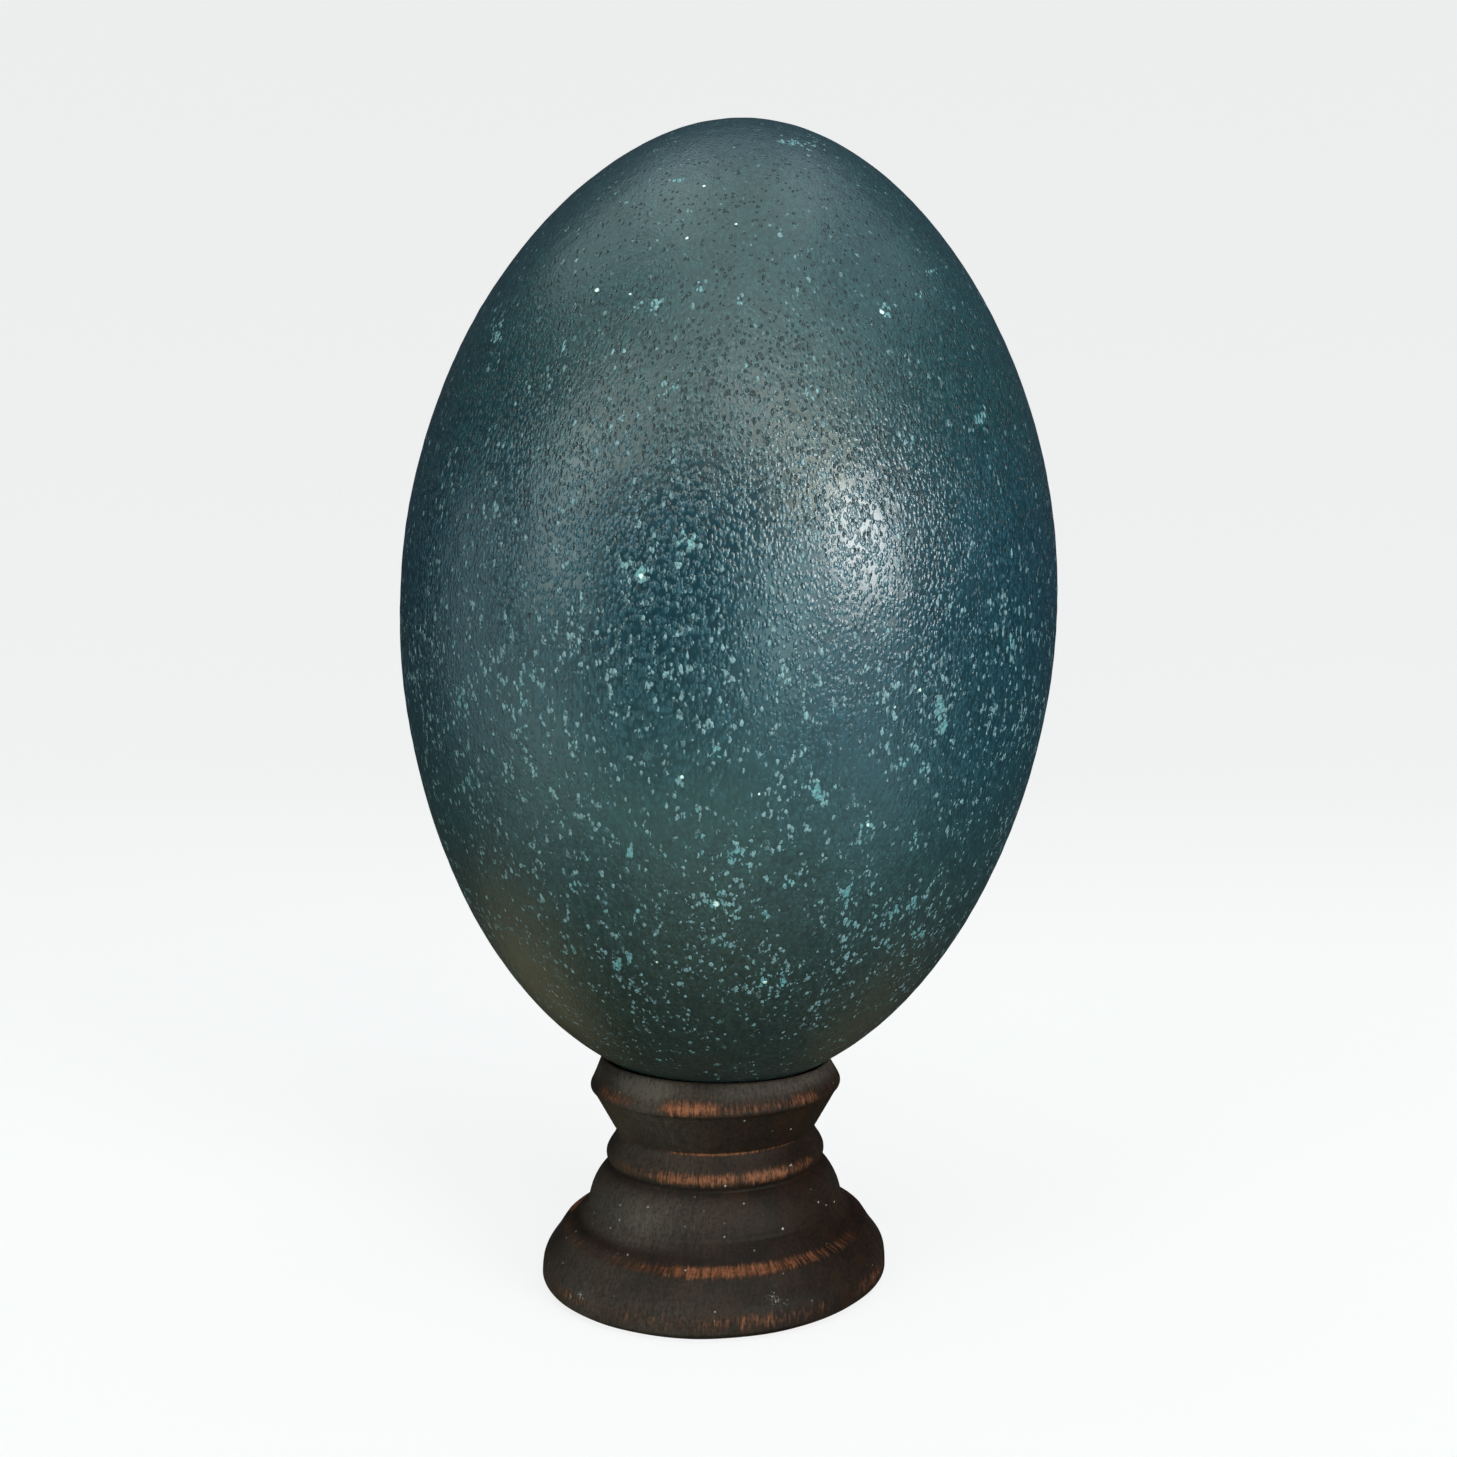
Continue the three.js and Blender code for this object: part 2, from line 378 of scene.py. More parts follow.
def shellMaterial(item):
    material, tree = newMaterial("layeredEmuEggshell")
    lean = math.radians(egg["lean"])
    x, y, z = egg["centre"]
    place = addNode(tree, "TexCoord")
    inEgg = addNode(tree, "Mapping", {            # millimetres from the egg's middle, z along its axis
        "Vector": place.outputs["Object"],
        "Scale": (1 / mm,) * 3,
        "Rotation": (0, -lean, 0),
        "Location": (z * math.sin(lean) - x * math.cos(lean), -y, -z * math.cos(lean) - x * math.sin(lean)),
    }).outputs[0]
    drawn = addNode(tree, "VectorMath", {
        0: inEgg, 1: (1, 1, shell["stretch"]),
    }, operation="MULTIPLY").outputs[0]

    # uneven edges: the coordinates are pushed about by less than the size of a grain
    waves, pushGrains, pushScales, pushPinheads = shell["uneven"]
    push = addNode(tree, "TexNoise", {"Vector": drawn, "Scale": waves, "Detail": 2.0, "Roughness": 0.6})
    pushed = addNode(tree, "VectorMath", {
        0: push.outputs["Color"], 1: (pushGrains,) * 3, 2: drawn,
    }, operation="MULTIPLY_ADD").outputs[0]

    # share of the grains that is rubbed through, in drifts and clumps
    height = addNode(tree, "SeparateXYZ", {0: inEgg}).outputs["Z"]
    half = math.floor(egg["length"] / 2)
    along = addNode(tree, "MapRange", {"Value": height, "From Min": -half, "From Max": half}).outputs[0]
    share = addNode(tree, "ValToRGB", {"Fac": along}, shell["rubbed"]).outputs[0]
    waves, low, high, least, most = shell["drift"]
    drift = addNode(tree, "TexNoise", {
        "Vector": inEgg, "Scale": waves, "Detail": 3.0, "Roughness": 0.6,
    }).outputs[0]
    drifts = addNode(tree, "MapRange", {
        "Value": drift, "From Min": low, "From Max": high, "To Min": least, "To Max": most,
    }).outputs[0]
    bare = addNode(tree, "Attribute", attribute_name="bare").outputs["Fac"]
    waves, low, high, least, most = shell["clump"]
    clump = addNode(tree, "TexNoise", {
        "Vector": drawn, "Scale": waves, "Detail": 2.0, "Roughness": 0.6,
    }).outputs[0]
    clumps = addNode(tree, "MapRange", {
        "Value": clump, "From Min": low, "From Max": high, "To Min": least, "To Max": most,
    }).outputs[0]
    cover = addNode(tree, "Math", {0: share, 1: drifts}, operation="MULTIPLY").outputs[0]
    cover = addNode(tree, "Math", {0: cover, 1: clumps}, operation="MULTIPLY").outputs[0]
    cover = addNode(tree, "Math", {
        0: bare, 1: shell["chipRubs"], 2: cover,
    }, operation="MULTIPLY_ADD").outputs[0]

    # grains: one to a cell, highest in the middle; some are rubbed to a fleck
    cell = addNode(tree, "TexVoronoi", {"Vector": pushed, "Scale": shell["grain"]})
    luck = addNode(tree, "SeparateXYZ", {0: cell.outputs["Color"]})
    rubbed = addNode(tree, "Math", {0: cover, 1: luck.outputs["X"]}, operation="SUBTRACT").outputs[0]
    low, high = shell["rubbedSoft"]
    rubbed = addNode(tree, "MapRange", {"Value": rubbed, "From Min": low, "From Max": high}).outputs[0]
    least, most, start, end = shell["fleckMark"]
    reach = addNode(tree, "MapRange", {
        "Value": luck.outputs["Y"], "To Min": least, "To Max": most,
    }).outputs[0]
    reach = addNode(tree, "Math", {
        0: bare, 1: shell["chipSpreads"], 2: reach,
    }, operation="MULTIPLY_ADD").outputs[0]
    inside = addNode(tree, "Math", {0: reach, 1: cell.outputs["Distance"]}, operation="SUBTRACT").outputs[0]
    inside = addNode(tree, "MapRange", {"Value": inside, "From Min": start, "From Max": end}).outputs[0]
    fleck = addNode(tree, "Math", {0: rubbed, 1: inside}, operation="MULTIPLY").outputs[0]

    # larger scales that stand up from the smooth ground of the lower half
    bend = addNode(tree, "VectorMath", {
        0: push.outputs["Color"], 1: (pushScales,) * 3, 2: drawn,
    }, operation="MULTIPLY_ADD").outputs[0]
    scale = addNode(tree, "TexVoronoi", {"Vector": bend, "Scale": shell["scales"]})
    chance = addNode(tree, "SeparateXYZ", {0: scale.outputs["Color"]})
    many = addNode(tree, "Math", {0: share, 1: drifts}, operation="MULTIPLY").outputs[0]
    many = addNode(tree, "Math", {0: many, 1: shell["scaleShare"]}, operation="MULTIPLY").outputs[0]
    many = addNode(tree, "Math", {0: many, 1: chance.outputs["X"]}, operation="SUBTRACT").outputs[0]
    low, high = shell["scaleSoft"]
    many = addNode(tree, "MapRange", {"Value": many, "From Min": low, "From Max": high}).outputs[0]
    least, most, start, end = shell["scaleMark"]
    reach = addNode(tree, "MapRange", {
        "Value": chance.outputs["Y"], "To Min": least, "To Max": most,
    }).outputs[0]
    inside = addNode(tree, "Math", {0: reach, 1: scale.outputs["Distance"]}, operation="SUBTRACT").outputs[0]
    inside = addNode(tree, "MapRange", {"Value": inside, "From Min": start, "From Max": end}).outputs[0]
    inside = addNode(tree, "Math", {0: many, 1: inside}, operation="MULTIPLY").outputs[0]
    fleck = addNode(tree, "Math", {0: fleck, 1: inside}, operation="MAXIMUM").outputs[0]

    # pinholes, most of them above the middle; their near-black colour is painted shade
    hole = addNode(tree, "TexVoronoi", {"Vector": pushed, "Scale": shell["pits"]})
    chance = addNode(tree, "SeparateXYZ", {0: hole.outputs["Color"]})
    often = addNode(tree, "ValToRGB", {"Fac": along}, shell["pitted"]).outputs[0]
    pierced = addNode(tree, "Math", {0: often, 1: chance.outputs["X"]}, operation="GREATER_THAN").outputs[0]
    least, most, start, end = shell["pitMark"]
    reach = addNode(tree, "MapRange", {
        "Value": chance.outputs["Y"], "To Min": least, "To Max": most,
    }).outputs[0]
    inside = addNode(tree, "Math", {0: reach, 1: hole.outputs["Distance"]}, operation="SUBTRACT").outputs[0]
    inside = addNode(tree, "MapRange", {"Value": inside, "From Min": start, "From Max": end}).outputs[0]
    pit = addNode(tree, "Math", {0: inside, 1: pierced}, operation="MULTIPLY").outputs[0]

    # the grains are highest round the middle
    rough = addNode(tree, "ValToRGB", {"Fac": along}, shell["highest"]).outputs[0]

    # colour: every grain has its own tone, with painted shade darkest in the gaps; the lower end is painted
    # darker and browner as shade and warm light from below
    waves, low, high, least, most = shell["tone"]
    tone = addNode(tree, "TexNoise", {
        "Vector": inEgg, "Scale": waves, "Detail": 4.0, "Roughness": 0.6,
    }).outputs[0]
    tone = addNode(tree, "Math", {0: tone, 1: luck.outputs["Z"]}, operation="ADD").outputs[0]
    tone = addNode(tree, "MapRange", {
        "Value": tone, "From Min": low, "From Max": high, "To Min": least, "To Max": most,
    }).outputs[0]
    stops = [(at, hexColour(text)) for at, text in shell["ground"]]
    ground = addNode(tree, "ValToRGB", {"Fac": along}, stops).outputs[0]
    ground = addNode(tree, "VectorMath", {0: ground, "Scale": tone}, operation="SCALE").outputs[0]
    # painted shade in the gaps, deeper where the grains stand higher
    start, end, most = shell["paintedGapShade"]
    gap = addNode(tree, "MapRange", {
        "Value": cell.outputs["Distance"], "From Min": start, "From Max": end, "To Max": most,
    }).outputs[0]
    gap = addNode(tree, "Math", {0: gap, 1: rough}, operation="MULTIPLY").outputs[0]
    # painted shade: dark colour in the gaps between grains and in the pinholes
    for amount, name in ((gap, "gap"), (pit, "pit")):
        ground = addNode(tree, "Mix", {
            0: amount, 6: ground, 7: hexColour(shell[name]),
        }, data_type="RGBA").outputs[2]
    pale = addNode(tree, "Mix", {
        0: bare, 6: hexColour(shell["fleck"]), 7: hexColour(shell["turquoise"]),
    }, data_type="RGBA").outputs[2]
    waves, low, high, least, most = shell["shade"]
    shade = addNode(tree, "TexNoise", {"Vector": inEgg, "Scale": waves, "Detail": 2.0}).outputs[0]
    shade = addNode(tree, "MapRange", {
        "Value": shade, "From Min": low, "From Max": high, "To Min": least, "To Max": most,
    }).outputs[0]
    pale = addNode(tree, "VectorMath", {0: pale, "Scale": shade}, operation="SCALE").outputs[0]
    colour = addNode(tree, "Mix", {0: fleck, 6: ground, 7: pale}, data_type="RGBA").outputs[2]

    # pinheads of the white inner layer
    where = addNode(tree, "VectorMath", {
        0: place.outputs["Object"], 1: (1 / mm,) * 3,
    }, operation="MULTIPLY").outputs[0]
    where = addNode(tree, "VectorMath", {
        0: push.outputs["Color"], 1: (pushPinheads,) * 3, 2: where,
    }, operation="MULTIPLY_ADD").outputs[0]
    for x, y, size in egg["pinheads"].values():
        spot = underPixel(item, x, y) / mm + Vector((pushPinheads / 2,) * 3)
        gap = addNode(tree, "VectorMath", {0: where, 1: spot}, operation="DISTANCE").outputs["Value"]
        tick = addNode(tree, "MapRange", {
            "Value": gap, "From Min": size, "From Max": shell["tickMiddle"] * size,
        }).outputs[0]
        colour = addNode(tree, "Mix", {
            0: tick, 6: colour, 7: hexColour(shell["tick"]),
        }, data_type="RGBA").outputs[2]

    gloss = addNode(tree, "ValToRGB", {"Fac": along}, shell["roughness"]).outputs[0]
    dull = addNode(tree, "Math", {0: fleck, 1: pit}, operation="MAXIMUM").outputs[0]
    gloss = addNode(tree, "Mix", {0: dull, 2: gloss, 3: shell["dullRoughness"]}).outputs[0]

    # relief in millimetres
    start, end = shell["grainSlope"]
    relief = addNode(tree, "MapRange", {
        "Value": cell.outputs["Distance"], "From Min": start, "From Max": end,
    }, interpolation_type="SMOOTHSTEP").outputs[0]
    relief = addNode(tree, "Math", {0: relief, 1: rough}, operation="MULTIPLY").outputs[0]
    relief = addNode(tree, "Math", {0: relief, 1: -shell["grainHeight"]}, operation="MULTIPLY").outputs[0]
    for amount, rise in ((pit, -shell["pitDepth"]), (fleck, shell["fleckHeight"])):
        relief = addNode(tree, "Math", {
            0: amount, 1: rise, 2: relief,
        }, operation="MULTIPLY_ADD").outputs[0]
    bump = addNode(tree, "Bump", {"Height": relief, "Strength": 1.0, "Distance": mm})
    surface = addNode(tree, "BsdfPrincipled", {
        "Base Color": colour,
        "Roughness": gloss,
        "Normal": bump.outputs[0],
        "IOR": shell["indexOfRefraction"],
    })
    addNode(tree, "OutputMaterial", {"Surface": surface.outputs[0]})
    return material


print("egg")
makeEgg()

# The stand, turned about Z. Points are [radius, height]; each curve is a Bezier of the points given.
stand = {
    "around": 360,
    "steps": 16,
    "seatRadius": 15.8,
    "height": 30.1,
    "seatSphere": 58.3,
    "seatSteps": 20,
    # the rim and the seat stand up to the egg: the height that this starts at, the rise all round, and
    # how much more on the side that the egg leans away from
    "seatRise": (27.6, 0.5, 0.43),
    "outline": [
        [(0, 0), (22.2, 0)],
        [(22.2, 0), (23.9, 0.85), (23.95, 1.3)],
        [(23.95, 1.3), (23.95, 4.9), (23.2, 3.9), (21.2, 7.55)],
        [(21.2, 7.55), (21.0, 7.65)],
        [(21.0, 7.65), (20.1, 8.05), (18.45, 9.75), (17.7, 10.45)],
        [(17.7, 10.45), (17.5, 12.7), (16.15, 15.05), (14.6, 15.95)],
        [(14.6, 15.95), (16.3, 17.9), (14.2, 18.7), (13.8, 20.4)],
        [(13.8, 20.4), (13.95, 20.8)],
        [(13.95, 20.8), (17.1, 26.3)],
        [(17.1, 26.3), (18.2, 26.85), (16.6, 28.3), (15.8, 30.1)],
    ],
    "wobble": (9.0, 0.03),              # wavelength and height of the hand-turned unevenness
    "rings": (0.9, 0.012),              # spacing and depth of the tool marks
    "rubDepth": 0.08,
    "crease": (7.95, 0.25, 0.9, 0.4),   # the line above the foot: height, reach down and up, depth
    # the side painted lighter under the grey film, as painted light: degrees to the right of the front, its
    # spread, and how strong the film is on the side opposite, with that one's spread
    "paintedLightSide": (-48, 48, 0.5, 60),
    # bands with more or less of it: height, reach, how much more; more on the rounded bands is painted
    # light, less in the creases is painted shade
    "dust": [(12.5, 2.5, 0.3), (8.7, 0.8, -0.7), (16.0, 0.8, -0.6), (3.0, 2.5, 0.2)],
    "dustAndPaintedLightFilm": (0.46, 0.75),           # strength, and the share that lies everywhere on that side
    "rimDust": (29.4, 1.1, 0.5),        # height, reach, strength
    "dustClouds": (11.0, 0.25),         # wavelength, how uneven
    "seed": 21,
    "rubbedFaintly": (0.22, 0.12, 14.0),   # everywhere on the edges: share, how uneven, wavelength
    "stretchEnd": 5,                    # degrees over which a stretch of wear begins and ends
    # where handling has rubbed the stain off the raised edges: height, half width, and the stretches
    # of it (from, to, how strongly) in degrees to the right of the front
    "rubbed": {
        "rim": (27.5, 1.0, [
            (-68, -37, 0.5), (-25, 3, 0.8), (0, 34, 0.42),
            (32, 53, 0.58), (120, 165, 0.8),
        ]),
        "neck": (20.6, 0.22, [(-28, 26, 0.8), (20, 52, 0.45), (-160, -110, 0.7)]),
        "bead": (17.6, 0.95, [
            (-58, -30, 0.42), (-33, 12, 0.75), (12, 40, 0.82),
            (36, 62, 0.5), (150, 215, 0.8),
        ]),
        "ledge": (7.75, 0.55, [
            (-45, -20, 0.4), (-24, -10, 0.62), (-15, 26, 0.8),
            (22, 44, 0.6), (40, 66, 0.42), (-150, -95, 0.8),
        ]),
        "foot": (2.6, 1.3, [(-95, -50, 0.3), (-38, 40, 0.36), (-5, 22, 0.45), (100, 150, 0.6)]),
    },
    # small scuffs: degrees to the right, height, size, how strongly
    "scuffs": [
        (-47, 3.4, 0.9, 0.9), (-52, 2.6, 0.6, 0.9), (19, 5.0, 1.1, 0.75),
        (22, 4.2, 0.7, 0.6), (-30, 14.2, 1.0, 0.3),
    ],
}


# A Bezier curve of two to four points, as the sum of binomial(n, k) (1-t)^(n-k) t^k times point k.
def bezier(points, steps):
    t = np.linspace(0, 1, steps + 1)[:, None]
    n = len(points) - 1
    shares = [math.comb(n, k) * (1 - t) ** (n - k) * t ** k for k in range(n + 1)]
    return sum(share * np.array(point, float) for share, point in zip(shares, points))


# The seat: a circle about a centre on the axis, from the rim's edge in to the middle.
def seatOutline():
    radius = np.linspace(stand["seatRadius"], 0, stand["seatSteps"])
    sphere = math.hypot(stand["seatRadius"], stand["seatSphere"] - stand["height"])
    return np.stack([radius, stand["seatSphere"] - np.sqrt(sphere ** 2 - radius ** 2)], 1)


# Carries a profile of [radius, height] round Z: point (i, j) is profile point i turned by angle j.
def turnedGrid(profile, around):
    angle = np.arange(around) * 2 * math.pi / around
    ring = np.stack([np.cos(angle), np.sin(angle), np.ones(around)], -1)
    scale = np.stack([profile[:, 0], profile[:, 0], profile[:, 1]], -1)
    i, j = np.meshgrid(np.arange(len(profile) - 1), np.arange(around), indexing="ij")
    low, high, nextJ = i * around, (i + 1) * around, (j + 1) % around
    quads = np.stack([low + j, low + nextJ, high + nextJ, high + j], -1)
    return scale[:, None] * ring, quads.reshape(-1, 4)


# Joins the points that lie in one place, as those of a ring on the axis do, and drops the faces that
# this leaves with fewer than three corners. A quad that becomes a triangle keeps its last corner twice.
def closedPoles(points, quads):
    flat = points.reshape(-1, 3)
    _, first, same = np.unique(np.round(flat, 5), axis=0, return_index=True, return_inverse=True)
    quads = same.reshape(-1)[quads]
    sides = (quads != np.roll(quads, -1, axis=1)).sum(axis=1)
    return first, quads[sides >= 3]


# How rubbed each point is: for every band a bell curve across it, times smooth steps at the two ends
# of each stretch.
def rubbedEdges(points):
    turn = np.degrees(np.arctan2(points[..., 0], -points[..., 1]))
    height = points[..., 2]
    rub = np.zeros(turn.shape)
    for middle, half, stretches in stand["rubbed"].values():
        across = np.exp(-((height - middle) / half) ** 2)
        for start, end, strength in stretches:
            away = (turn - (start + end) / 2 + 180) % 360 - 180
            reach, soft = (end - start) / 2, stand["stretchEnd"]
            along = 1 - smoothStep(reach - soft, reach + soft, np.abs(away))
            rub = np.maximum(rub, across * along * strength)
        share, uneven, wavelength = stand["rubbedFaintly"]
        faint = share + uneven * waveField(points, wavelength, stand["seed"] + 3)
        rub = np.maximum(rub, across * faint)
    return rub


# How scuffed each point is: bell curves of the distance to each scuff, measured round and up.
def scuffMarks(points):
    turn = np.arctan2(points[..., 0], -points[..., 1])
    radius = np.hypot(points[..., 0], points[..., 1])
    mark = np.zeros(turn.shape)
    for side, height, size, strength in stand["scuffs"]:
        around = (turn - math.radians(side)) * radius
        gap = (around ** 2 + (points[..., 2] - height) ** 2) / size ** 2
        mark = np.maximum(mark, strength * np.exp(-gap))
    return mark


# How much grey film each point has: partly dust, and partly painted light and shade. Bell curves round the
# stand for its lighter side and the one opposite, times bell curves in height that lighten the rounded bands
# and leave the creases darker, plus one for the top of the rim.
def dustAndPaintedLightFilm(points):
    turn = np.degrees(np.arctan2(points[..., 0], -points[..., 1]))
    height = points[..., 2]
    middle, spread, opposite, oppositeSpread = stand["paintedLightSide"]
    away = (turn - middle + 180) % 360 - 180
    side = np.exp(-(away / spread) ** 2)
    side += opposite * np.exp(-((np.abs(away) - 180) / oppositeSpread) ** 2)
    bands = sum(more * np.exp(-((height - at) / reach) ** 2) for at, reach, more in stand["dust"])
    strength, share = stand["dustAndPaintedLightFilm"]
    at, reach, rim = stand["rimDust"]
    film = strength * side * (share + bands).clip(0, 2) + rim * np.exp(-((height - at) / reach) ** 2)
    wavelength, uneven = stand["dustClouds"]
    return film * (1 + uneven * waveField(points, wavelength, stand["seed"] + 5)).clip(0, 2)


# The stand's mesh is its outline carried round, then cut back by wear, tool marks and unevenness, and
# lifted at the rim and the seat.
def makeStand():
    curves = [bezier(points, stand["steps"])[:-1] for points in stand["outline"]]
    outside = np.concatenate(curves)
    profile = np.concatenate([outside, seatOutline()])
    points, quads = turnedGrid(profile, stand["around"])
    rub, scuff = rubbedEdges(points), scuffMarks(points)
    # unevenness, tool marks and wear move a point towards the axis, and only on the outside
    along = np.cumsum(np.hypot(*np.diff(profile, axis=0, prepend=profile[:1]).T))
    rings = stand["rings"][1] * (0.5 + 0.5 * np.cos(2 * math.pi * along / stand["rings"][0]))
    wobble = stand["wobble"][1] * (2 + waveField(points, stand["wobble"][0], stand["seed"])).clip(0, 4)
    middle, down, up, deep = stand["crease"]
    height = profile[:, 1] - middle
    crease = deep * np.exp(-(height / np.where(height < 0, down, up)) ** 2)
    depth = wobble + rings[:, None] + crease[:, None] + stand["rubDepth"] * rub
    depth[len(outside):] = 0
    depth[:stand["steps"]] = 0                                      # the flat underside
    radius = np.hypot(points[..., 0], points[..., 1])
    points[..., :2] *= (1 - depth / np.maximum(radius, 1))[..., None]
    # the rim and the seat stand up towards the egg, which leans to +X
    start, rise, more = stand["seatRise"]
    rim = smoothStep(start, stand["height"], profile[:, 1])
    seat = (profile[:, 0] / stand["seatRadius"]) ** 2
    lift = np.where(np.arange(len(profile)) < len(outside), rim, seat)
    points[..., 2] += lift[:, None] * (rise - more * points[..., 0] / np.maximum(radius, 1))
    first, quads = closedPoles(points, quads)
    fields = {"rubbed": rub, "scuffed": scuff, "dusty": dustAndPaintedLightFilm(points)}
    values = {name: field.reshape(-1)[first] for name, field in fields.items()}
    item = putMesh("woodStand", points.reshape(-1, 3)[first] * mm, quads, values)
    item.data.materials.append(standMaterial())
    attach(item, "root")
    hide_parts("stand")
    return item


# Turned hardwood with its grain upright, stained almost black and left dull. Handling has worn the raised
# edges through to orange-brown wood in upright streaks. A grey film of dust lies over it, laid on thicker on
# one side and on the rounded bands as painted light, and thinner in the creases as painted shade.
wood = {
    "stain": "#110b08",
    "stainBrown": "#20120b",
    "bareWood": "#7a4a34",
    "bareDark": "#40261a",
    # the grey film: dust, laid on as painted light on one side and the rounded bands
    "film": "#463d37",
    "dust": "#aaa59b",
    "roughness": 0.55,
    "rubbedRoughness": 0.65,
    "indexOfRefraction": 1.16,   # low, because the old stain is dull
    "pores": 3.8,           # streaks per mm
    "poreLength": 0.16,     # their spacing up the surface, as a share of that
    "poreDepth": 0.03,      # mm
    "patches": 0.2,         # random fields: patches of stain, mottling, and fibres in the scuffs, per mm
    "mottling": 2.2,
    "fibres": 1.6,
    "specks": 0.8,          # cells per mm that may hold a grain of dust
    "speckStrength": 0.7,
    "speckSize": (0.4, -0.1, 0.15),     # the luck it takes, and the least and the most that one reaches
    "speckSoft": (-0.02, 0.09),
    "scuffSoft": (0.78, 0.9, 0.3),      # where its lines start and are whole, and how much wear adds
    # the range of values over which each of these comes in
    "brownPatches": (0.86, 1.2),
    "wornThrough": (0.22, 0.72),
    "wornEdge": (0.12, 0.4),
    "freshStreaks": (1.1, 1.95, 1.4),   # and how much the mottling adds
    # the range of values that counts, and what it becomes
    "filmClouds": (0.7, 1.3, 0.35, 1.65),
    "streaks": (0.3, 0.7, -0.4, 0.4),
}


